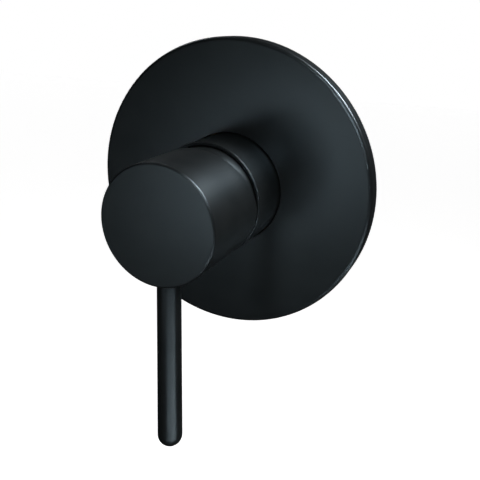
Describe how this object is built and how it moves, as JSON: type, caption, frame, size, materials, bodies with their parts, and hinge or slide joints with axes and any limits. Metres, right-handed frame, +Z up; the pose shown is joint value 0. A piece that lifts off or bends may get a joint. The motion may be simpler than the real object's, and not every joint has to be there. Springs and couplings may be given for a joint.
{
  "type": "concealed bath mixer",
  "caption": "Concealed single-lever bath mixer: round wall plate and sleeve, drum handle with a hanging pin lever that lifts and turns, cartridge and in-wall valve body.",
  "frame": {"origin": "where the mixer's axis meets the finished wall, at the back of the wall plate's gasket", "axes": "+Z up, front of the mixer towards -Y, in-wall body towards +Y, +X to the right as seen from the front"},
  "size_m": [0.12, 0.1232, 0.1525],
  "materials": {
    "black_finish": "satin black coating",
    "brass": "cast and machined",
    "rubber": "smooth",
    "gasket_foam": "closed-cell foam",
    "cartridge_plastic": "moulded",
    "carrier_plastic": "moulded",
    "stop_plastic": "moulded",
    "ceramic": "lapped",
    "steel": "drawn"
  },
  "bodies": {
    "fixed": {"valve_body": "brass", "outlet_plug": "brass", "plug_washer": "rubber", "cartridge_base": "cartridge_plastic", "base_seals": "rubber", "disc_seals": "rubber", "fixed_disc": "ceramic", "cartridge_housing": "cartridge_plastic", "housing_o_ring": "rubber", "retaining_nut": "brass", "dome_shroud": "black_finish", "sleeve": "black_finish", "sleeve_o_ring": "rubber", "wall_plate": "black_finish", "plate_o_ring": "rubber", "plate_gasket": "gasket_foam"},
    "rotor": {"stem_guide": "carrier_plastic", "guide_o_ring": "rubber", "pivot_pin": "steel", "temperature_stop": "stop_plastic"},
    "handle": {"lever_stem": "brass", "stem_insert": "carrier_plastic", "handle_body": "black_finish", "grub_screw": "steel", "pin_lever": "black_finish"},
    "disc": {"disc_carrier": "carrier_plastic", "moving_disc": "ceramic"}
  },
  "joints": [
    {"name": "handle_turn", "type": "hinge", "parent": "fixed", "child": "rotor", "pos_m": [0, -0.03, 0], "axis": [0, -1, 0], "range_deg": [-50, 50]},
    {"name": "handle_lift", "type": "hinge", "parent": "rotor", "child": "handle", "pos_m": [0, -0.03, 0], "axis": [-1, 0, 0], "range_deg": [0, 20]},
    {"name": "disc_slide", "type": "slide", "parent": "rotor", "child": "disc", "axis": [0, 0, -1], "range_m": [0, 0.0048]}
  ],
  "couplings": [
    {"joint": "disc_slide", "follows": "handle_lift", "m_per_rad": 0.0137}
  ]
}
